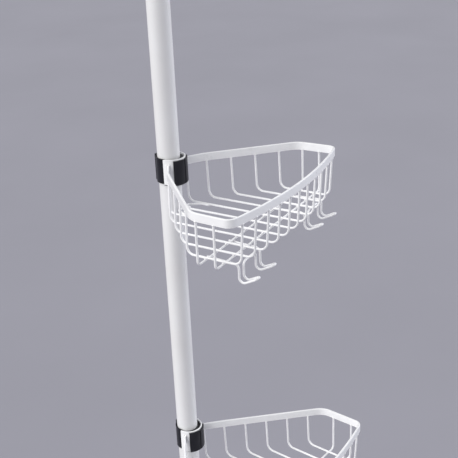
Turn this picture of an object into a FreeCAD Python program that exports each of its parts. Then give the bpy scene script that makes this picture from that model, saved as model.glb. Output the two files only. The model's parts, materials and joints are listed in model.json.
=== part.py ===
import FreeCAD, Part
import math
import os
import re
from FreeCAD import Vector

# Corner rack on a tension pole. Millimetres, +Z up, origin on the floor under the pole's axis.
# Each basket opens towards -Y: "reach" is the distance from the axis along -Y, "side" runs along X.

doc = FreeCAD.newDocument("TensionPoleShelf")

driving = [
    # pole
    ("poleOuter", 25.0),
    ("poleWall", 1.0),
    ("seamLow", 800.0),
    ("seamHigh", 1500.0),
    ("poleTop", 2100.0),
    ("overallHeight", 2400.0),
    ("plugLength", 120.0),
    ("plugWall", 1.6),
    ("fitGap", 0.05),
    # feet at the floor and the ceiling
    ("padRadius", 25.0),
    ("padThickness", 5.0),
    ("padChamfer", 1.0),
    ("capRadius", 23.0),
    ("capNeckRadius", 15.5),
    ("capFloor", 7.0),
    ("capSocket", 22.0),
    ("capRim", 4.0),
    # spring tube and what it slides on
    ("innerOuter", 20.0),
    ("innerWall", 1.2),
    ("bushSkirt", 30.0),
    ("bushFlange", 4.0),
    ("bushOverhang", 2.5),
    ("plungerFlange", 20.0),
    ("plungerSpigot", 25.0),
    ("slideGap", 0.1),
    ("stopGap", 0.3),
    ("springLength", 150.0),
    ("springTurns", 15.0),
    ("springWire", 2.4),
    ("springSideGap", 1.7),
    ("seatThickness", 15.0),
    ("seatSpigot", 12.0),
    ("seatSpigotRadius", 6.0),
    # rim heights and turns of the four baskets, from the floor up
    ("rimOne", 559.2),
    ("rimTwo", 913.6),
    ("rimThree", 1268.0),
    ("rimFour", 1622.4),
    ("turnOne", -8.0),
    ("turnTwo", -8.0),
    ("turnThree", 0.0),
    ("turnFour", 0.0),
    # wire and strip stock
    ("wireDiameter", 2.5),
    ("stripThickness", 2.5),
    ("stripHeight", 9.0),
    ("stripRounding", 0.8),
    ("weldSink", 0.02),
    ("basketDepth", 54.75),
    ("frontLean", 3.0),
    ("backLean", 2.2),
    ("backSet", 2.0),
    ("crossBend", 5.0),
    ("backCornerRadius", 8.0),
    ("frontCornerRadius", 9.0),
    ("wirePitch", 20.0),
    # plan of the small basket
    ("smallBackAngle", 45.0),
    ("smallBackOffset", 13.0),
    ("smallSide", 114.2),
    ("smallSideSplay", 2.2),
    ("smallReach", 160.0),
    ("smallBowRadius", 500.0),
    ("smallCrossBack", 106.5),
    ("smallCrossFront", 127.0),
    # plan of the large basket
    ("largeBackAngle", 42.4),
    ("largeBackOffset", 6.3),
    ("largeSide", 133.2),
    ("largeSideSplay", 0.0),
    ("largeReach", 185.5),
    ("largeBowRadius", 600.0),
    ("largeCrossBack", 130.5),
    ("largeCrossFront", 156.7),
    # bends of the rim strip
    ("neckSide", 35.0),
    ("neckBend", 12.0),
    ("weldAngle", 20.0),
    ("backBend", 22.0),
    ("frontBend", 9.0),
    # nose wire
    ("noseEndReach", 38.0),
    ("noseTurnReach", 29.0),
    ("noseTipSide", 9.0),
    ("noseTipReach", 13.6),
    ("noseDipReach", 19.6),
    ("noseBend", 4.0),
    # hooks of the small basket; the back ends lie behind the legs and the tips in front of them
    ("hookLeftSide", 69.9),
    ("hookRightSide", 74.6),
    ("hookSpacing", 33.6),
    ("hookGap", 9.2),
    ("hookTipGap", 7.5),
    ("hookTurn", 0.0),
    ("hookRunSplay", 3.0),
    ("hookLegReach", 138.9),
    ("hookBackReach", 38.0),
    ("hookDrop", 21.9),
    ("hookTipReach", 19.2),
    ("hookTipDrop", 12.3),
    ("hookBend", 5.0),
    # collar: saddle, clamp halves and liner
    ("saddleOffset", 3.2),
    ("saddleWall", 1.5),
    ("saddleRise", 5.5),
    ("saddleDrop", 23.0),
    ("saddleReturn", 0.2),
    ("linerWall", 0.8),
    ("linerSlot", 2.0),
    ("linerFlange", 1.2),
    ("clampWall", 1.0),
    ("clampTopDrop", 2.0),
    ("clampBackRise", 0.2),
    ("seatRelief", 0.1),
    ("panelWall", 1.75),
    ("panelAngle", 41.0),
    ("panelGroove", 1.5),
    ("panelTopDrop", 1.2),
    ("panelTaper", 1.2),
    ("clampFloor", 1.3),
    ("ribReach", 17.0),
    ("ribWidth", 5.0),
    ("splitGap", 0.1),
]

sheet = doc.addObject("Spreadsheet::Sheet", "Sizes")
for row, (alias, value) in enumerate(driving, start=1):
    sheet.set("A%d" % row, alias)
    sheet.set("B%d" % row, str(value))
    sheet.setAlias("B%d" % row, alias)
doc.recompute()


def size(alias):
    return float(sheet.get(alias))


wireRadius = size("wireDiameter") / 2
halfStrip = size("stripThickness") / 2
floorLevel = wireRadius - size("basketDepth")
crossLevel = floorLevel - size("wireDiameter") + size("weldSink")
hookLevel = crossLevel - size("wireDiameter") + size("weldSink")
stripBottom = -size("stripHeight")

aliases = [alias for alias, value in driving]
outputs = []

# turned a little about +Z, so that an expression for the angle finds this axis
aboutPole = FreeCAD.Placement(Vector(), FreeCAD.Rotation(Vector(0, 0, 1), 1))


def at(side, reach, level=0.0):
    """Point of a basket's own frame."""
    return Vector(side, -reach, level)


def formula(text):
    """Puts the sheet's name before each alias of an expression."""
    return re.sub(r"[A-Za-z]+", lambda word: "Sizes." + word.group()
                  if word.group() in aliases else word.group(), text)


def bind(item, **expressions):
    """Binds properties to expressions of the sheet; level, reach and side place the object."""
    paths = {"level": "Placement.Base.z", "reach": "Placement.Base.y", "side": "Placement.Base.x",
             "turn": "Placement.Rotation.Angle"}
    for name, text in expressions.items():
        expression = formula("-(" + text + ")" if name == "reach" else text)
        item.setExpression(paths.get(name, name), expression)
    return item


def rounded(kind, name, sweep, start, expressions):
    """A cylinder or cone, cut down to a sector where a sweep angle is given."""
    item = doc.addObject(kind, name)
    if sweep is not None:
        item.Placement = aboutPole
        bind(item, Angle=sweep, turn=start)
    return bind(item, **expressions)


def cylinder(name, radius, height, level="0", reach="0", sweep=None, start=None):
    return rounded("Part::Cylinder", name, sweep, start,
                   {"Radius": radius, "Height": height, "level": level, "reach": reach})


def cone(name, lowRadius, highRadius, height, level, reach="0", sweep=None, start=None):
    return rounded("Part::Cone", name, sweep, start,
                   {"Radius1": lowRadius, "Radius2": highRadius, "Height": height, "level": level,
                    "reach": reach})


def box(name, side, reach, level, length, depth, height):
    """A box whose front face lies at the given reach."""
    item = doc.addObject("Part::Box", name)
    return bind(item, side=side, reach=reach, level=level, Length=length, Width=depth, Height=height)


def cut(name, base, tool):
    item = doc.addObject("Part::Cut", name)
    item.Base = base
    item.Tool = tool
    return item


def fuse(name, *pieces):
    item = doc.addObject("Part::MultiFuse", name)
    item.Shapes = list(pieces)
    return item


def ring(name, outer, inner, height, level="0", reach="0"):
    return cut(name, cylinder(name + "Outside", outer, height, level, reach),
               cylinder(name + "Bore", inner, height, level, reach))


def keep(label, item):
    item.Label = label
    outputs.append(item)
    return item


# ---- pole -------------------------------------------------------------------------------------

tubeInner = "(poleOuter / 2 - poleWall)"
tubeFoot = "(padThickness + capFloor)"


def tube(label, low, high):
    keep(label, ring(label + "Ring", "poleOuter / 2", tubeInner, "%s - %s" % (high, low), low))


def jointPlug(label, seam):
    outer = tubeInner + " - fitGap"
    keep(label, ring(label + "Ring", outer, outer + " - plugWall", "plugLength", seam + " - plugLength / 2"))


def makePole():
    tube("pole_lower_tube", tubeFoot, "seamLow")
    tube("pole_middle_tube", "seamLow", "seamHigh")
    tube("pole_upper_tube", "seamHigh", "poleTop")
    jointPlug("lower_joint_plug", "seamLow")
    jointPlug("upper_joint_plug", "seamHigh")


def endCap(label, shaftRadius, neckRadius, padLevel, direction):
    """A cap with a flat rim and a tapering neck round a shaft; direction +1 stands, -1 hangs."""
    socket = "%s + fitGap" % shaftRadius
    taper = "(capFloor + capSocket - capRim)"
    if direction > 0:
        rim = cylinder(label + "Rim", "capRadius", "capRim", padLevel)
        neck = cone(label + "Neck", "capRadius", neckRadius, taper, padLevel + " + capRim")
        bore = cylinder(label + "Socket", socket, "capSocket", padLevel + " + capFloor")
    else:
        rim = cylinder(label + "Rim", "capRadius", "capRim", padLevel + " - capRim")
        neck = cone(label + "Neck", neckRadius, "capRadius", taper, "%s - capRim - %s" % (padLevel, taper))
        bore = cylinder(label + "Socket", socket, "capSocket", padLevel + " - capFloor - capSocket")
    keep(label, cut(label + "Cup", fuse(label + "Outline", rim, neck), bore))


def pad(label, level, direction):
    """A disc whose outer edge is bevelled on the side away from the pole."""
    straight = "padThickness - padChamfer"
    if direction > 0:
        bevel = cone(label + "Bevel", "padRadius - padChamfer", "padRadius", "padChamfer", level)
        disc = cylinder(label + "Disc", "padRadius", straight, level + " + padChamfer")
    else:
        disc = cylinder(label + "Disc", "padRadius", straight, level)
        bevel = cone(label + "Bevel", "padRadius", "padRadius - padChamfer", "padChamfer",
                     "%s + %s" % (level, straight))
    keep(label, fuse(label + "Blank", disc, bevel))


bushBottom = "(poleTop - bushSkirt)"
plungerTop = "(poleTop - bushSkirt - stopGap)"
plungerBottom = "(poleTop - bushSkirt - stopGap - plungerFlange)"
seatTop = "(poleTop - bushSkirt - stopGap - plungerFlange - springLength)"
shaft = "innerOuter / 2"


def makeBush():
    skirt = cylinder("bushSkirtBlank", tubeInner + " - fitGap", "bushSkirt", bushBottom)
    flange = cylinder("bushFlangeBlank", "poleOuter / 2 + bushOverhang", "bushFlange", "poleTop")
    bore = cylinder("bushBore", shaft + " + slideGap", "bushSkirt + bushFlange", bushBottom)
    keep("guide_bush", cut("guideBush", fuse("bushBlank", skirt, flange), bore))


def makePlunger():
    flange = cylinder("plungerFlangeDisc", tubeInner + " - slideGap", "plungerFlange", plungerBottom)
    spigot = cylinder("plungerSpigotRod", shaft + " - innerWall - fitGap", "plungerSpigot", plungerTop)
    keep("plunger", fuse("plungerBlank", flange, spigot))


def makeSpringSeat():
    disc = cylinder("seatDisc", tubeInner + " - fitGap", "seatThickness", seatTop + " - seatThickness")
    spigot = cylinder("seatSpigotRod", "seatSpigotRadius", "seatSpigot", seatTop)
    keep("spring_seat", fuse("seatBlank", disc, spigot))


def makeSpring():
    coilRadius = tubeInner + " - springWire / 2 - springSideGap"
    helix = doc.addObject("Part::Helix", "springPath")
    bind(helix, Radius=coilRadius, Height="springLength - springWire",
         Pitch="(springLength - springWire) / springTurns")
    wire = doc.addObject("Part::Circle", "springSection")
    wire.Placement = FreeCAD.Placement(Vector(), FreeCAD.Rotation(Vector(1, 0, 0), 90))
    bind(wire, Radius="springWire / 2", side=coilRadius)
    coil = doc.addObject("Part::Sweep", "springCoil")
    coil.Sections = [wire]
    coil.Spine = (helix, ["Edge1"])
    coil.Solid = True
    coil.Frenet = True
    bind(coil, level=seatTop + " + springWire / 2")
    keep("tension_spring", coil)


def makeEnds():
    pad("foot_pad", "0", 1)
    endCap("foot_cap", "poleOuter / 2", "capNeckRadius", "padThickness", 1)
    makeBush()
    makeSpringSeat()
    makeSpring()
    makePlunger()
    top = "(overallHeight - padThickness)"
    keep("spring_tube", ring("springTube", shaft, shaft + " - innerWall",
                             "%s - capFloor - %s" % (top, plungerTop), plungerTop))
    endCap("top_cap", shaft, "capNeckRadius - poleOuter / 2 + innerOuter / 2", top, -1)
    pad("ceiling_pad", top, -1)


# ---- collar: liner, clamp halves and saddle, in a basket's own frame ----------------------------

linerBore = "(poleOuter / 2 + fitGap)"
linerOuter = "(poleOuter / 2 + fitGap + linerWall)"
clampBore = "(poleOuter / 2 + fitGap * 2 + linerWall)"
shellOuter = "(poleOuter / 2 + fitGap * 2 + linerWall + clampWall)"
saddleInner = "(poleOuter / 2 + fitGap * 2 + linerWall + clampWall + seatRelief)"
saddleOuter = "(poleOuter / 2 + fitGap * 2 + linerWall + clampWall + seatRelief + saddleWall)"
panelOuter = "(%s + seatRelief + panelWall)" % saddleOuter
collarReach = "(saddleOffset + %s + ribReach)" % panelOuter
clampBottom = "(-saddleDrop - seatRelief - clampFloor)"
clampFront = "(saddleRise - clampTopDrop + saddleDrop + seatRelief + clampFloor)"
clampBack = "(saddleRise + clampBackRise + saddleDrop + seatRelief + clampFloor)"


def makeLiner():
    flangeBottom = "-saddleDrop"
    sleeveHeight = "(saddleRise - clampTopDrop + saddleDrop - splitGap)"
    sleeve = cylinder("linerSleeve", linerOuter, sleeveHeight, flangeBottom)
    flange = cylinder("linerFlangeDisc", shellOuter, "linerFlange", flangeBottom)
    bore = cylinder("linerBore", linerBore, sleeveHeight, flangeBottom)
    slot = box("linerSlotBox", "-linerSlot / 2", "0", flangeBottom, "linerSlot", shellOuter, sleeveHeight)
    blank = cut("linerBlank", fuse("linerOutline", sleeve, flange), bore)
    return cut("linerTemplate", blank, slot)


def makeClampHalf():
    """The half on the +X side: shell and rib behind, wall inside the saddle, floor and panel in front."""
    front = {"sweep": "90 - panelAngle", "start": "-90"}
    offset = "saddleOffset"
    shell = cylinder("clampShell", shellOuter, clampBack, clampBottom)
    rib = box("clampRib", "0", "0", clampBottom, "ribWidth / 2", "ribReach", clampBack)
    notch = box("clampShellNotch", "-" + collarReach, collarReach, clampBottom + " + " + clampFront,
                collarReach + " * 2", collarReach + " - saddleOffset + saddleReturn", clampBack)
    back = cut("clampBackHalf", fuse("clampBackBlank", shell, rib), notch)
    crescent = cylinder("clampCrescent", saddleInner + " - seatRelief", clampFront, clampBottom, offset)
    floor = cylinder("clampFloorSector", panelOuter + " - panelTaper", "clampFloor", clampBottom,
                     offset, **front)
    bore = cylinder("clampBore", clampBore, clampBack, clampBottom)
    pocket = cylinder("clampFlangePocket", shellOuter + " + fitGap",
                      "clampFloor + linerFlange + seatRelief * 2", clampBottom)
    core = cut("clampCore", fuse("clampInside", back, crescent, floor), fuse("clampHollow", bore, pocket))

    panelHeight = "(saddleRise - panelTopDrop + saddleDrop + seatRelief + clampFloor)"
    taper = cone("clampTaper", panelOuter + " - panelTaper", panelOuter, "panelTaper", clampBottom,
                 offset, **front)
    panel = cylinder("clampPanelSector", panelOuter, panelHeight + " - panelTaper",
                     clampBottom + " + panelTaper", offset, **front)
    channel = cylinder("clampChannel", saddleOuter + " + seatRelief", panelHeight, clampBottom, offset)
    wall = cut("clampWallBlank", fuse("clampFront", panel, taper), channel)
    groove = box("clampGroove", "0", "%s + %s" % (offset, panelOuter), clampBottom,
                 "panelGroove / 2", "panelWall + saddleWall", panelHeight)
    blank = fuse("clampBlank", core, cut("clampPanel", wall, groove))

    side = box("clampSide", "splitGap / 2", collarReach, clampBottom,
               collarReach, collarReach + " * 2", clampBack)
    half = doc.addObject("Part::Common", "clampRightTemplate")
    half.Base = blank
    half.Tool = side
    return half


def makeSaddle():
    steel = ring("saddleRing", saddleOuter, saddleInner, "saddleRise + saddleDrop", "-saddleDrop",
                 "saddleOffset")
    opening = box("saddleOpening", "-" + collarReach, "saddleOffset - saddleReturn", "-saddleDrop",
                  collarReach + " * 2", collarReach, "saddleRise + saddleDrop")
    return cut("saddleTemplate", steel, opening)


def mirrored(name, item):
    other = doc.addObject("Part::Mirroring", name)
    other.Source = item
    other.Normal = Vector(1, 0, 0)
    return other


# ---- bent strip and wire -------------------------------------------------------------------------

def bentEdges(points, radii):
    """Straight runs joined by tangent arcs, one radius for each inner point."""
    edges = []
    start = points[0]
    for before, corner, after, radius in zip(points, points[1:], points[2:], radii):
        toBefore = (before - corner).normalize()
        toAfter = (after - corner).normalize()
        half = toBefore.getAngle(toAfter) / 2
        setback = radius / math.tan(half)
        middle = corner + (toBefore + toAfter).normalize() * (radius / math.sin(half) - radius)
        first = corner + toBefore * setback
        last = corner + toAfter * setback
        edges.append(Part.LineSegment(start, first).toShape())
        edges.append(Part.Arc(first, middle, last).toShape())
        start = last
    edges.append(Part.LineSegment(start, points[-1]).toShape())
    return edges


def swept(edges, section):
    solid = Part.Wire(edges).makePipe(section)
    return solid.Solids[0]


def wire(points, radii):
    """Round wire along a bent path."""
    direction = points[1] - points[0]
    circle = Part.Wire(Part.makeCircle(wireRadius, points[0], direction))
    return swept(bentEdges(points, radii), Part.Face(circle))


def shapeObject(name, solids):
    item = doc.addObject("Part::Feature", name)
    item.Shape = solids[0] if len(solids) == 1 else Part.makeCompound(solids)
    return item


saddleOuterSize = (size("poleOuter") / 2 + size("fitGap") * 2 + size("linerWall") + size("clampWall")
                   + size("seatRelief") + size("saddleWall"))


class Plan:
    """Plan of one kind of basket: the centre line of its rim strip, seen from above."""

    def __init__(self, kind):
        self.tilt = math.tan(math.radians(size(kind + "BackAngle")))
        self.offset = size(kind + "BackOffset")
        self.side = size(kind + "Side")
        self.splay = math.radians(size(kind + "SideSplay"))
        self.reach = size(kind + "Reach")
        self.bow = size(kind + "BowRadius")
        self.cornerReach = self.tilt * self.side - self.offset
        weld = math.radians(size("weldAngle"))
        self.weldSide = saddleOuterSize * math.cos(weld)
        self.weldReach = size("saddleOffset") + saddleOuterSize * math.sin(weld)
        self.neckReach = self.tilt * size("neckSide") - self.offset
        self.neckTilt = (self.neckReach - self.weldReach) / (size("neckSide") - self.weldSide)

    def backReach(self, side):
        """Reach of the strip behind the given side position."""
        if abs(side) < size("neckSide"):
            return self.weldReach + self.neckTilt * (abs(side) - self.weldSide)
        return self.tilt * abs(side) - self.offset

    def frontReach(self, side):
        """Reach of the bowed front at the given side position."""
        return self.reach - self.bow + math.sqrt(self.bow ** 2 - side ** 2)

    def sideAt(self, reach):
        """Half width of the strip at the given reach, at its side stretch or at its slanted back."""
        beside = self.side + math.tan(self.splay) * (reach - self.cornerReach)
        slanted = (reach + self.offset) / self.tilt
        return min(beside, slanted)

    def frontCorner(self):
        """Tangent points and middle of the arc between the side stretch and the bow."""
        radius = size("frontBend")
        along = Vector(math.sin(self.splay), math.cos(self.splay))
        inward = Vector(-math.cos(self.splay), math.sin(self.splay))
        bowCentre = Vector(0, self.reach - self.bow)
        corner = Vector(self.side, self.cornerReach)
        offset = corner + inward * radius - bowCentre
        projected = offset.dot(along)
        travel = -projected + math.sqrt(projected ** 2 - offset.dot(offset) + (self.bow - radius) ** 2)
        centre = corner + inward * radius + along * travel
        sidePoint = corner + along * travel
        bowPoint = bowCentre + (centre - bowCentre).normalize() * self.bow
        outward = (sidePoint - centre) + (bowPoint - centre)
        return sidePoint, centre + outward.normalize() * radius, bowPoint

    def rimEdges(self):
        """Centre line of the rim from one weld on the saddle round to the other."""
        sidePoint, middle, bowPoint = self.frontCorner()
        start = size("saddleWall") / 2
        inside = at(self.weldSide - start, self.weldReach - self.neckTilt * start)
        corners = [inside, at(size("neckSide"), self.neckReach), at(self.side, self.cornerReach),
                   at(sidePoint.x, sidePoint.y)]
        bends = [size("neckBend"), size("backBend")]
        corner = [at(point.x, point.y) for point in (sidePoint, middle, bowPoint)]
        mirrorCorner = [flip(point) for point in reversed(corner)]
        edges = bentEdges(corners, bends)
        edges.append(Part.Arc(*corner).toShape())
        edges.append(Part.Arc(corner[2], at(0, self.reach), mirrorCorner[0]).toShape())
        edges.append(Part.Arc(*mirrorCorner).toShape())
        edges += bentEdges([flip(point) for point in reversed(corners)], bends[::-1])
        return edges, corners[1] - corners[0]


def flip(point):
    return Vector(-point.x, point.y, point.z)


def makeRim(kind, plan):
    """Flat strip on edge with a rounded top, welded to the saddle at both ends."""
    edges, direction = plan.rimEdges()
    start = edges[0].Vertexes[0].Point
    across = Vector(-direction.y, direction.x).normalize()
    radius = size("stripRounding")
    diagonal = radius * (1 - math.sqrt(0.5))

    def corner(acrossBy, level):
        return start + across * acrossBy + Vector(0, 0, level)

    inner = halfStrip - radius
    section = [
        Part.LineSegment(corner(-halfStrip, stripBottom), corner(halfStrip, stripBottom)),
        Part.LineSegment(corner(halfStrip, stripBottom), corner(halfStrip, -radius)),
        Part.Arc(corner(halfStrip, -radius), corner(halfStrip - diagonal, -diagonal), corner(inner, 0)),
        Part.LineSegment(corner(inner, 0), corner(-inner, 0)),
        Part.Arc(corner(-inner, 0), corner(diagonal - halfStrip, -diagonal), corner(-halfStrip, -radius)),
        Part.LineSegment(corner(-halfStrip, -radius), corner(-halfStrip, stripBottom)),
    ]
    face = Part.Face(Part.Wire([edge.toShape() for edge in section]))
    saddle = Part.makeCylinder(saddleOuterSize, size("stripHeight"), at(0, size("saddleOffset"), stripBottom))
    return shapeObject(kind + "RimTemplate", [swept(edges, face).cut(saddle)])


def noseRelief():
    """How far the nose wire's dip lies behind its corner point, because of the bend."""
    half = math.atan2(size("noseTipSide"), size("noseDipReach") - size("noseTipReach"))
    return size("noseBend") * (1 / math.sin(half) - 1)


def makeFloorWires(kind, plan):
    """U-shaped wires from the front strip down, under the basket and up to the back strip."""
    pitch = size("wirePitch")
    reachable = plan.side - size("backBend") * math.tan(math.radians(size(kind + "BackAngle")) / 2)
    count = int(reachable // pitch)
    solids = []
    for index in range(-count, count + 1):
        side = index * pitch
        front = plan.frontReach(side)
        points = [at(side, front, stripBottom), at(side, front - size("frontLean"), floorLevel)]
        bends = [size("frontCornerRadius")]
        if index == 0:
            points.append(at(side, size("noseDipReach") + size("wireDiameter") / 2, floorLevel))
        else:
            top = side - math.copysign(size("backLean"), side)
            points += [at(side, plan.backReach(side) - size("backSet"), floorLevel),
                       at(top, plan.backReach(top), stripBottom)]
            bends.append(size("backCornerRadius"))
        solids.append(wire(points, bends))
    return shapeObject(kind + "FloorTemplate", solids)


def makeCrossWires(kind, plan):
    """Wires across the basket under the floor wires, their legs below the side stretches."""
    solids = []
    for reach in (size(kind + "CrossBack"), size(kind + "CrossFront")):
        side = plan.sideAt(reach)
        points = [at(-side, reach, stripBottom), at(-side, reach, crossLevel),
                  at(side, reach, crossLevel), at(side, reach, stripBottom)]
        solids.append(wire(points, [size("crossBend")] * 2))
    return shapeObject(kind + "CrossTemplate", solids)


def makeNoseWire():
    """Joins the first floor wires at either side with the middle one's end beside the pole."""
    side = size("wirePitch") - size("wireDiameter") + size("weldSink")
    half = [at(side, size("noseEndReach"), floorLevel), at(side, size("noseTurnReach"), floorLevel),
            at(size("noseTipSide"), size("noseTipReach"), floorLevel)]
    dip = at(0, size("noseDipReach") + noseRelief(), floorLevel)
    points = half + [dip] + [flip(point) for point in reversed(half)]
    return shapeObject("noseTemplate", [wire(points, [size("noseBend")] * 5)])


# share of a hook's half width that the bends of its tip take up
tipRoundness = 0.98


def hook(side):
    """Points and bends of one hook, from its left leg round the tip to its right leg."""
    leg = size("hookLegReach")
    low = hookLevel - size("hookDrop")
    tipLevel = hookLevel - size("hookTipDrop")
    legs = size("hookGap") / 2
    tip = size("hookTipGap") / 2
    points = [at(side - legs, leg, hookLevel), at(side - legs, leg, low),
              at(side - tip, leg + size("hookTipReach"), tipLevel),
              at(side + tip, leg + size("hookTipReach"), tipLevel),
              at(side + legs, leg, low), at(side + legs, leg, hookLevel)]
    bends = [size("hookBend"), size("hookBend"), tip * tipRoundness]
    return points, bends + bends[::-1]


def hookPair():
    """One wire bent into two hooks, about the middle of the run that joins them."""
    spread = size("hookSpacing") / 2
    points, bends = [], []
    for side in (-spread, spread):
        hookPoints, hookBends = hook(side)
        points += hookPoints
        bends += hookBends
    behind = Vector(size("hookRunSplay"), size("hookBackReach"), 0)
    points = [points[0] + behind] + points + [points[-1] + behind]
    middle = at(0, size("hookLegReach"), hookLevel)
    solid = wire(points, bends)
    solid.rotate(middle, Vector(0, 0, 1), size("hookTurn"))
    return solid


def makeHookWires():
    """The left pair as bent and the right pair as its mirror image."""
    left = hookPair()
    right = left.mirror(Vector(), Vector(1, 0, 0))
    left.translate(Vector(-size("hookLeftSide"), 0, 0))
    right.translate(Vector(size("hookRightSide"), 0, 0))
    return shapeObject("hookTemplate", [left, right])


# ---- baskets -------------------------------------------------------------------------------------

def makeTemplates():
    clampRight = makeClampHalf()
    shared = {"liner": makeLiner(), "saddle": makeSaddle(), "clamp_right": clampRight,
              "clamp_left": mirrored("clampLeftTemplate", clampRight), "nose_wire": makeNoseWire()}
    templates = {}
    for kind in ("small", "large"):
        plan = Plan(kind)
        templates[kind] = dict(shared, rim_band=makeRim(kind, plan), floor_wires=makeFloorWires(kind, plan),
                               cross_wires=makeCrossWires(kind, plan))
    templates["small"]["hook_wires"] = makeHookWires()
    return templates


def makeBasket(number, kind, rim, turn, templates):
    """Places the pieces of one kind of basket at its rim height, turned about the pole."""
    for piece, template in templates[kind].items():
        item = doc.addObject("Part::Compound", "basket%d%s" % (number, piece.title().replace("_", "")))
        item.Links = [template]
        item.Placement = aboutPole
        bind(item, level=rim, turn=turn)
        keep("basket_%d_%s" % (number, piece), item)


makePole()
makeEnds()
parts = makeTemplates()
makeBasket(1, "large", "rimOne", "turnOne", parts)
makeBasket(2, "large", "rimTwo", "turnTwo", parts)
makeBasket(3, "small", "rimThree", "turnThree", parts)
makeBasket(4, "small", "rimFour", "turnFour", parts)
doc.recompute()

for item in doc.Objects:
    if "Invalid" in item.State or "Error" in item.State:
        raise RuntimeError("%s failed: %s" % (item.Label, item.State))
for item in outputs:
    if item.Shape.isNull() or not item.Shape.isValid() or not item.Shape.Solids:
        raise RuntimeError("%s has no valid solid" % item.Label)

os.makedirs("parts", exist_ok=True)
for item in outputs:
    item.Shape.exportStep("parts/%s.step" % item.Label)
    print("%-24s solids %2d  volume %10.1f" % (item.Label, len(item.Shape.Solids), item.Shape.Volume))
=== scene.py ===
import json
import math
import bmesh
import bpy
from mathutils import Matrix, Vector


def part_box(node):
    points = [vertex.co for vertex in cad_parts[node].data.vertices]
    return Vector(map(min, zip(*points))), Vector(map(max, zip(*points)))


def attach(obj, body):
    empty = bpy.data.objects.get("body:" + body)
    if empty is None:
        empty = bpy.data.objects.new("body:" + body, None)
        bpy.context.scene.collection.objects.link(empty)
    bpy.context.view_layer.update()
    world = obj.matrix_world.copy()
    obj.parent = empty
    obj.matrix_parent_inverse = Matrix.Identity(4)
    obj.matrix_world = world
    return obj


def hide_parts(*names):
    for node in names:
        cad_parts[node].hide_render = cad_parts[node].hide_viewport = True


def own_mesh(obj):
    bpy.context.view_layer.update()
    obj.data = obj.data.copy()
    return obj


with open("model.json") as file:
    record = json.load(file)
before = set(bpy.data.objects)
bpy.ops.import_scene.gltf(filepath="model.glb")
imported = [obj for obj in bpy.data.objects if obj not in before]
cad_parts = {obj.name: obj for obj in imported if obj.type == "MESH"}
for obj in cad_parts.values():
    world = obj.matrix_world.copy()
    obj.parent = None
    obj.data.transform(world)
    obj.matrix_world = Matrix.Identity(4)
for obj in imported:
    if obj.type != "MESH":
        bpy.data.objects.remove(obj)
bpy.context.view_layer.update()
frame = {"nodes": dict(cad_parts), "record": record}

nodes = frame["nodes"]
print("frame loaded with", len(nodes), "nodes")


# camera and studio

cameraView = {
    "place": (-0.7914, -0.5586, 1.6079),
    "azimuth": -58.46,
    "elevation": 23.77,
    "roll": 2.50,
    "focalPixels": 930.15,
    "imagePixels": 458,
    "shiftPixels": 0.5,
    "sensor": 36.0,         # millimetres
    "nearest": 0.01,
}


def lookFrame(azimuth, elevation, roll):
    # directions to the right, up and back of a camera at these angles in degrees
    around, rise, tilt = (math.radians(angle) for angle in (azimuth, elevation, roll))
    back = Vector((math.sin(around) * math.cos(rise), -math.cos(around) * math.cos(rise), math.sin(rise)))
    right = (-back).cross(Vector((0, 0, 1))).normalized()
    down = (-back).cross(right)
    tiltedRight = right * math.cos(tilt) + down * math.sin(tilt)
    tiltedDown = down * math.cos(tilt) - right * math.sin(tilt)
    return tiltedRight, -tiltedDown, back


def makeCamera():
    view = cameraView
    data = bpy.data.cameras.new("viewCamera")
    data.sensor_width = view["sensor"]
    data.lens = view["focalPixels"] * view["sensor"] / view["imagePixels"]
    data.shift_x = view["shiftPixels"] / view["imagePixels"]
    data.clip_start = view["nearest"]
    camera = bpy.data.objects.new("viewCamera", data)
    bpy.context.scene.collection.objects.link(camera)
    right, up, back = lookFrame(view["azimuth"], view["elevation"], view["roll"])
    turn = Matrix((right, up, back)).transposed().to_4x4()
    camera.matrix_world = Matrix.Translation(Vector(view["place"])) @ turn
    bpy.context.scene.camera = camera


# each light comes from so many degrees round to the right of the camera and up from the floor
studio = {
    "lights": {
        "key": {"round": -60, "up": 36, "softness": 62, "power": 2.74, "colour": (1.0, 0.992, 0.975)},
        "rim": {"round": 108, "up": 16, "softness": 56, "power": 2.25, "colour": (0.92, 0.94, 1.0)},
    },
    "sky": (0.95, 0.96, 1.0),
    "skyPower": 0.38,
}


def makeLights():
    for name, values in studio["lights"].items():
        data = bpy.data.lights.new(name + "Light", "SUN")
        data.angle = math.radians(values["softness"])
        data.energy = values["power"]
        data.color = values["colour"]
        lamp = bpy.data.objects.new(name + "Light", data)
        bpy.context.scene.collection.objects.link(lamp)
        towards = lookFrame(cameraView["azimuth"] + values["round"], values["up"], 0)[2]
        lamp.rotation_euler = towards.to_track_quat("Z", "Y").to_euler()


def makeSky():
    world = bpy.data.worlds.new("studioSky")
    world.use_nodes = True
    shade = world.node_tree.nodes["Background"]
    shade.inputs["Color"].default_value = (*studio["sky"], 1)
    shade.inputs["Strength"].default_value = studio["skyPower"]
    bpy.context.scene.world = world
    bpy.context.scene.view_settings.view_transform = "Standard"


# finishes: a noise is its scale, detail and roughness, its ends are where one colour stops and the next
# is full, a bump is its strength and its depth in metres, and a coat is its weight and roughness

shadeValues = {
    "middle": (0.3, 0.7),       # a noise mostly stays between these
    "edgeSamples": 4,
    "creviceSamples": 8,
    "mixSockets": (0, 6, 7),    # factor and the two colours of a colour mix
    "mixResult": 2,
    "black": (0, 0, 0),
    "white": (1, 1, 1),
}


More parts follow.
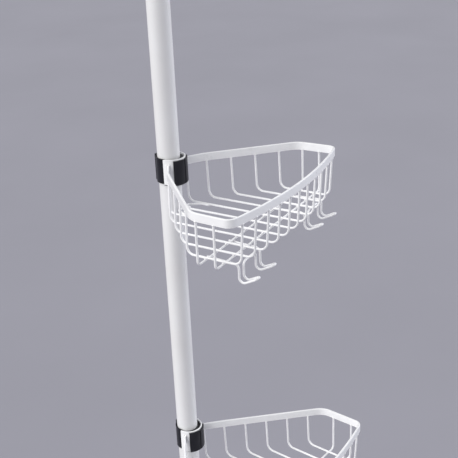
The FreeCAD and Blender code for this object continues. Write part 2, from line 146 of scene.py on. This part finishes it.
class Shades:
    # a material with a few short ways to add and join nodes

    def __init__(self, name):
        self.material = bpy.data.materials.new(name)
        self.material.use_nodes = True
        self.tree = self.material.node_tree
        self.shader = self.tree.nodes["Principled BSDF"]
        self.place = self.add("ShaderNodeTexCoord").outputs["Object"]

    def add(self, kind, **values):
        node = self.tree.nodes.new(kind)
        for key, value in values.items():
            setattr(node, key, value)
        return node

    def join(self, start, end):
        self.tree.links.new(start, end)

    def give(self, source, name):
        self.join(source, self.shader.inputs[name])

    def fix(self, name, value):
        self.shader.inputs[name].default_value = value

    def noise(self, scale, detail, rough=0.5, stretch=None):
        node = self.add("ShaderNodeTexNoise")
        node.inputs["Scale"].default_value = scale
        node.inputs["Detail"].default_value = detail
        node.inputs["Roughness"].default_value = rough
        place = self.place
        if stretch:
            mapping = self.add("ShaderNodeMapping")
            mapping.inputs["Scale"].default_value = stretch
            self.join(place, mapping.inputs["Vector"])
            place = mapping.outputs["Vector"]
        self.join(place, node.inputs["Vector"])
        return node.outputs["Fac"]

    def ramp(self, source, ends, first, second):
        node = self.add("ShaderNodeValToRGB")
        for element, position, colour in zip(node.color_ramp.elements, ends, (first, second)):
            element.position = position
            element.color = (*colour, 1)
        self.join(source, node.inputs["Fac"])
        return node.outputs["Color"]

    def spread(self, source, low, high):
        node = self.add("ShaderNodeMapRange")
        node.inputs["From Min"].default_value, node.inputs["From Max"].default_value = shadeValues["middle"]
        node.inputs["To Min"].default_value = low
        node.inputs["To Max"].default_value = high
        self.join(source, node.inputs["Value"])
        return node.outputs["Result"]

    def mix(self, factor, first, second, blend="MIX"):
        node = self.add("ShaderNodeMix", data_type="RGBA", blend_type=blend)
        for value, index in zip((factor, first, second), shadeValues["mixSockets"]):
            socket = node.inputs[index]
            if isinstance(value, bpy.types.NodeSocket):
                self.join(value, socket)
            elif isinstance(value, tuple):
                socket.default_value = (*value, 1)
            else:
                socket.default_value = value
        return node.outputs[shadeValues["mixResult"]]

    def bump(self, height, strength, depth, under=None):
        node = self.add("ShaderNodeBump")
        node.inputs["Strength"].default_value = strength
        node.inputs["Distance"].default_value = depth
        self.join(height, node.inputs["Height"])
        if under:
            self.join(under, node.inputs["Normal"])
        return node.outputs["Normal"]

    def softEdge(self, radius):
        node = self.add("ShaderNodeBevel", samples=shadeValues["edgeSamples"])
        node.inputs["Radius"].default_value = radius
        return node.outputs["Normal"]

    def crevice(self, reach):
        # ambient occlusion, which the wire coat uses to paint shade into corners
        node = self.add("ShaderNodeAmbientOcclusion", samples=shadeValues["creviceSamples"])
        node.inputs["Distance"].default_value = reach
        return node.outputs["AO"]

    def coat(self, weight, rough):
        self.fix("Coat Weight", weight)
        self.fix("Coat Roughness", rough)


wireCoatValues = {
    "light": (0.93, 0.93, 0.94),
    "dull": (0.90, 0.90, 0.91),
    "pools": (70.0, 4.0, 0.6),
    "poolEnds": (0.3, 0.65),
    # painted shade: the colour multiplied in where wires meet and in corners, how far the occlusion
    # reaches, and where it starts and stops
    "creaseShade": (0.80, 0.79, 0.775),
    "creaseReach": 0.0018,
    "creaseEnds": (0.25, 0.8),
    "roughness": (0.26, 0.38),
    "edge": 0.0006,
    "flow": (140.0, 2.0),
    "flowBump": (0.14, 0.0004),
    "peel": (420.0, 2.0),
    "peelBump": (0.12, 0.0002),
    "coat": (0.25, 0.15),
}


def wireCoat():
    # dip coat that pools a little along the wire, with painted shade that darkens it in the corners
    values = wireCoatValues
    made = Shades("whiteWireCoat")
    pools = made.noise(*values["pools"])
    colour = made.ramp(pools, values["poolEnds"], values["dull"], values["light"])
    # painted shade: ambient occlusion darkens the coat's colour in corners and where wires meet
    crevice = made.crevice(values["creaseReach"])
    paintedCornerShade = made.ramp(crevice, values["creaseEnds"], values["creaseShade"], shadeValues["white"])
    made.give(made.mix(1.0, colour, paintedCornerShade, "MULTIPLY"), "Base Color")
    made.give(made.spread(pools, *values["roughness"]), "Roughness")
    rounded = made.softEdge(values["edge"])
    flow = made.bump(made.noise(*values["flow"]), *values["flowBump"], rounded)
    made.give(made.bump(made.noise(*values["peel"]), *values["peelBump"], flow), "Normal")
    made.coat(*values["coat"])
    return made.material


tubeCoatValues = {
    "light": (0.84, 0.84, 0.85),
    "dull": (0.79, 0.785, 0.785),
    "cloud": (9.0, 3.0),
    "cloudEnds": (0.35, 0.65),
    "scuff": (0.66, 0.65, 0.64),
    "rubs": (34.0, 6.0, 0.7),
    "rubStretch": (1.0, 1.0, 0.06),
    "rubEnds": (0.66, 0.78),
    "rubStrength": (0.45, 0.45, 0.45),
    "seam": (0.16, 0.16, 0.16),
    "seamHalf": 0.0004,
    "seamTubes": ("pole_middle_tube", "pole_upper_tube"),       # a seam shows at the foot of each
    "roughness": (0.30, 0.40),
    "peel": (900.0, 2.0),
    "peelBump": (0.10, 0.00015),
    "coat": (0.2, 0.2),
}


def tubeCoat():
    # powder coat with fine orange peel, faint lengthwise rubs and a dark line at each seam
    values = tubeCoatValues
    made = Shades("whiteTubeCoat")
    colour = made.ramp(made.noise(*values["cloud"]), values["cloudEnds"], values["dull"], values["light"])
    rubs = made.noise(*values["rubs"], stretch=values["rubStretch"])
    rubMask = made.ramp(rubs, values["rubEnds"], shadeValues["black"], values["rubStrength"])
    colour = made.mix(rubMask, colour, values["scuff"])
    height = made.add("ShaderNodeSeparateXYZ")
    made.join(made.place, height.inputs["Vector"])
    for tube in values["seamTubes"]:
        line = made.add("ShaderNodeMath", operation="COMPARE")
        line.inputs[1].default_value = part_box(tube)[0].z
        line.inputs[2].default_value = values["seamHalf"]
        made.join(height.outputs["Z"], line.inputs[0])
        colour = made.mix(line.outputs["Value"], colour, values["seam"])
    made.give(colour, "Base Color")
    made.give(made.spread(rubs, *values["roughness"]), "Roughness")
    made.give(made.bump(made.noise(*values["peel"]), *values["peelBump"]), "Normal")
    made.coat(*values["coat"])
    return made.material


plasticValues = {
    "bloom": (45.0, 5.0, 0.6),
    "bloomEnds": (0.35, 0.75),
    "grain": (2600.0, 2.0),
    "grainBump": (0.18, 0.0001),
    "shine": 0.38,
}
plasticKinds = {
    "clamp_plastic": {
        "name": "clampPlastic",
        "dark": (0.006, 0.006, 0.010),
        "worn": (0.014, 0.013, 0.020),
        "roughness": (0.24, 0.36),
        "edge": 0.0005,
    },
    "liner_plastic": {
        "name": "linerPlastic",
        "dark": (0.006, 0.006, 0.007),
        "worn": (0.012, 0.012, 0.014),
        "roughness": (0.50, 0.65),
        "edge": 0.0003,
    },
    "cap_plastic": {
        "name": "capPlastic",
        "dark": (0.014, 0.014, 0.016),
        "worn": (0.028, 0.028, 0.031),
        "roughness": (0.38, 0.52),
        "edge": 0.0012,
    },
    "guide_plastic": {
        "name": "guidePlastic",
        "dark": (0.018, 0.018, 0.018),
        "worn": (0.034, 0.034, 0.034),
        "roughness": (0.40, 0.55),
        "edge": 0.0005,
    },
}


def mouldedPlastic(kind):
    # moulded plastic with a fine spark grain, softened edges and a slightly paler bloom
    values = plasticValues
    made = Shades(kind["name"])
    bloom = made.noise(*values["bloom"])
    made.give(made.ramp(bloom, values["bloomEnds"], kind["dark"], kind["worn"]), "Base Color")
    made.give(made.spread(bloom, *kind["roughness"]), "Roughness")
    grain = made.bump(made.noise(*values["grain"]), *values["grainBump"], made.softEdge(kind["edge"]))
    made.give(grain, "Normal")
    made.fix("Specular IOR Level", values["shine"])
    return made.material


metalValues = {
    "lines": (260.0, 4.0, 0.6),
    "lineEnds": (0.3, 0.7),
    "lineBump": (0.15, 0.0001),
}
metalKinds = {
    "plug_steel": {
        "name": "plugSteel",
        "dark": (0.34, 0.34, 0.34),
        "light": (0.60, 0.60, 0.60),
        "roughness": (0.28, 0.44),
        "stretch": (1, 1, 0.05),        # drawn lines run up the plug
    },
    "spring_steel": {
        "name": "springSteel",
        "dark": (0.20, 0.20, 0.21),
        "light": (0.42, 0.42, 0.44),
        "roughness": (0.26, 0.42),
        "stretch": (1, 1, 1),
    },
}


def bareMetal(kind):
    # bare steel with fine drawn lines
    values = metalValues
    made = Shades(kind["name"])
    lines = made.noise(*values["lines"], stretch=kind["stretch"])
    made.give(made.ramp(lines, values["lineEnds"], kind["dark"], kind["light"]), "Base Color")
    made.give(made.spread(lines, *kind["roughness"]), "Roughness")
    made.give(made.bump(lines, *values["lineBump"]), "Normal")
    made.fix("Metallic", 1.0)
    return made.material


rubberValues = {
    "dark": (0.022, 0.022, 0.023),
    "dusty": (0.055, 0.053, 0.050),
    "dust": (120.0, 6.0, 0.7),
    "dustEnds": (0.4, 0.8),
    "roughness": (0.70, 0.86),
    "grain": (1500.0, 3.0),
    "grainBump": (0.3, 0.0002),
}


def padRubber():
    # dull rubber with a little dust on it
    values = rubberValues
    made = Shades("padRubber")
    dust = made.noise(*values["dust"])
    made.give(made.ramp(dust, values["dustEnds"], values["dark"], values["dusty"]), "Base Color")
    made.give(made.spread(dust, *values["roughness"]), "Roughness")
    made.give(made.bump(made.noise(*values["grain"]), *values["grainBump"]), "Normal")
    return made.material


def makeFinishes():
    made = {"wire_coat": wireCoat(), "tube_coat": tubeCoat(), "pad_rubber": padRubber()}
    for slot, kind in plasticKinds.items():
        made[slot] = mouldedPlastic(kind)
    for slot, kind in metalKinds.items():
        made[slot] = bareMetal(kind)
    for entry in frame["record"]["subparts"]:
        mesh = nodes[entry["node"]].data
        mesh.materials.clear()
        mesh.materials.append(made[entry["material_slot"]])
    return made


floorValues = {
    "side": 60.0,
    "dark": (0.298, 0.295, 0.338),
    "light": (0.314, 0.310, 0.356),
    "cloud": (1.2, 3.0),
    "cloudEnds": (0.3, 0.7),
    "roughness": 0.85,
}


def floorPaint():
    values = floorValues
    made = Shades("floorPaint")
    cloud = made.noise(*values["cloud"])
    made.give(made.ramp(cloud, values["cloudEnds"], values["dark"], values["light"]), "Base Color")
    made.fix("Roughness", values["roughness"])
    return made.material


def makeFloor():
    bpy.ops.mesh.primitive_plane_add(size=floorValues["side"])
    floor = bpy.context.object
    floor.name = "studioFloor"
    floor.data.materials.append(floorPaint())


# weld beads: where wire meets strip, strip meets saddle, and wire crosses wire
# a bead is its half sizes across, outward and up, and a reach is a distance out from the pole's axis

basketPlans = {
    1: {"kind": "large", "turn": -8.0},
    2: {"kind": "large", "turn": -8.0},
    3: {"kind": "small", "turn": 0.0},
    4: {"kind": "small", "turn": 0.0},
}
kindValues = {
    # floor wires on each side of the middle one, and how far out the two cross wires lie
    "small": {"wires": 5, "crosses": (0.1065, 0.1270)},
    "large": {"wires": 6, "crosses": (0.1305, 0.1567)},
}
beadValues = {
    "facesRound": 12,
    "facesUp": 8,
    "pitch": 0.020,                 # from floor wire to floor wire
    "wire": 0.0025,
    "topBead": (0.0019, 0.0019, 0.0013),
    "crossBead": (0.0016, 0.0016, 0.0008),
    "endBead": (0.0023, 0.0027, 0.0022),
    "endBeadRise": 0.0009,
    "noseBead": (0.0012, 0.0030, 0.0014),
    "levelSlack": 0.00005,          # a wire end is what lies this near the height of the strip's edge
    "endSize": 0.0035,              # points of one wire end lie nearer to each other than this
}
seamValues = {
    "bead": (0.0011, 0.0011, 0.0015),
    "count": 11,
    "swell": 0.05,                  # the beads of a row differ by this share
    "swellStep": 2.3,
    "outward": 0.0002,
    "sideways": 0.0003,
    "saddleReach": 0.0032,          # how far in front of the pole's axis the saddle is centred
    "saddleOuter": 0.0160,
    "saddleSlack": 0.0004,
    "stripThickness": 0.0025,
    "endSize": 0.012,               # points of one strip end lie nearer to each other than this
}
noseValues = {
    "endReach": 0.038,              # where the nose wire's ends lie against the first floor wires
    "dipReach": 0.0226,             # middle of the weld between the middle floor wire and the nose wire
}
hookValues = {
    "runs": (-0.0913, -0.0485, 0.0532, 0.0960),
    "legReach": 0.1389,
    "lean": (0.079, 0.079, -0.079, -0.079),     # sideways travel of each run for its travel in reach
}


def clusters(points, size):
    # middle of each group of points that lie close together
    groups = []
    for point in points:
        for group in groups:
            if (group[0] - point).length < size:
                group.append(point)
                break
        else:
            groups.append([point])
    return [sum(group, Vector()) / len(group) for group in groups]


def endsOf(node, level):
    # centres of the wire ends of a node that stop at a height
    points = []
    for vertex in nodes[node].data.vertices:
        if abs(vertex.co.z - level) < beadValues["levelSlack"]:
            points.append(vertex.co.copy())
    return clusters(points, beadValues["endSize"])


def addBead(mesh, centre, radii, turn=0.0):
    place = Matrix.Translation(centre) @ Matrix.Rotation(turn, 4, "Z")
    place = place @ Matrix.Diagonal((*radii, 1))
    around, up = beadValues["facesRound"], beadValues["facesUp"]
    bmesh.ops.create_uvsphere(mesh, u_segments=around, v_segments=up, radius=1.0, matrix=place)


def addTopBeads(mesh, body, turn):
    # where the legs of the wires meet the lower edge of the strip
    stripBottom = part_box(body + "_rim_band")[0].z
    for node in ("_floor_wires", "_cross_wires"):
        for centre in endsOf(body + node, stripBottom):
            addBead(mesh, centre, beadValues["topBead"], turn)


def addCrossBeads(mesh, spin, turn, level, kind):
    # where the floor wires lie on the cross wires
    for reach in kind["crosses"]:
        for index in range(-kind["wires"], kind["wires"] + 1):
            centre = spin @ Vector((index * beadValues["pitch"], -reach, level))
            addBead(mesh, centre, beadValues["crossBead"], turn)


def seamEnds(node, axis):
    # middles of the two ends of the rim strip, where they meet the saddle
    near = []
    for vertex in nodes[node].data.vertices:
        flat = Vector((vertex.co.x, vertex.co.y, 0))
        if (flat - axis).length < seamValues["saddleOuter"] + seamValues["saddleSlack"]:
            near.append(flat)
    return clusters(near, seamValues["endSize"])


def addSeams(mesh, body, spin):
    # a row of small beads up each side of the strip's two ends
    values = seamValues
    axis = spin @ Vector((0, -values["saddleReach"], 0))
    low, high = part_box(body + "_rim_band")
    for end in seamEnds(body + "_rim_band", axis):
        outward = (end - axis).normalized()
        along = Vector((-outward.y, outward.x, 0))
        for side in (-1, 1):
            aside = side * (values["stripThickness"] / 2 + values["sideways"])
            foot = end + outward * values["outward"] + along * aside
            for step in range(values["count"]):
                level = high.z - (high.z - low.z) * (step + 0.5) / values["count"]
                swell = 1 + values["swell"] * math.sin(step * values["swellStep"] + side)
                radii = [radius * swell for radius in values["bead"]]
                addBead(mesh, foot + Vector((0, 0, level)), radii)


def addNoseBeads(mesh, spin, turn, level):
    # at the nose wire's two ends, and where the middle floor wire ends on it
    for side in (-1, 1):
        across = side * (beadValues["pitch"] - beadValues["wire"] / 2)
        place = Vector((across, -noseValues["endReach"], level))
        addBead(mesh, spin @ place, beadValues["noseBead"], turn)
    place = Vector((0, -noseValues["dipReach"], level + beadValues["endBeadRise"]))
    addBead(mesh, spin @ place, beadValues["endBead"], turn)


def addHookBeads(mesh, spin, turn, level, crosses):
    # where the hook wires run under the cross wires
    for reach in crosses:
        for side, lean in zip(hookValues["runs"], hookValues["lean"]):
            place = Vector((side + lean * (hookValues["legReach"] - reach), -reach, level))
            addBead(mesh, spin @ place, beadValues["crossBead"], turn)


def makeWelds(number, coat):
    plan = basketPlans[number]
    kind = kindValues[plan["kind"]]
    body = "basket_%d" % number
    turn = math.radians(plan["turn"])
    spin = Matrix.Rotation(turn, 4, "Z")
    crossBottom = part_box(body + "_cross_wires")[0].z
    floorBottom = crossBottom + beadValues["wire"]
    mesh = bmesh.new()
    addTopBeads(mesh, body, turn)
    addCrossBeads(mesh, spin, turn, floorBottom, kind)
    addSeams(mesh, body, spin)
    addNoseBeads(mesh, spin, turn, floorBottom + beadValues["wire"] / 2)
    if plan["kind"] == "small":
        addHookBeads(mesh, spin, turn, crossBottom, kind["crosses"])
    data = bpy.data.meshes.new(body + "_weld_beads")
    mesh.to_mesh(data)
    mesh.free()
    for face in data.polygons:
        face.use_smooth = True
    data.materials.append(coat)
    beads = bpy.data.objects.new(body + "_weld_beads", data)
    bpy.context.scene.collection.objects.link(beads)
    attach(beads, body)


def makeSpring():
    # the coil between its seat and the plunger, copied with a mesh of its own and carried by the pole
    node = nodes["tension_spring"]
    coil = bpy.data.objects.new("tension_spring_coil", node.data.copy())
    coil.matrix_world = node.matrix_world.copy()
    bpy.context.scene.collection.objects.link(coil)
    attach(coil, "pole")
    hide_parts("tension_spring")
    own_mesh(coil)


makeCamera()
makeLights()
makeSky()
makeFloor()
print("camera, lights and floor made")

finishes = makeFinishes()
print("finishes made:", len(finishes))

for basket in basketPlans:
    makeWelds(basket, finishes["wire_coat"])
print("weld beads made")

makeSpring()
print("spring made")
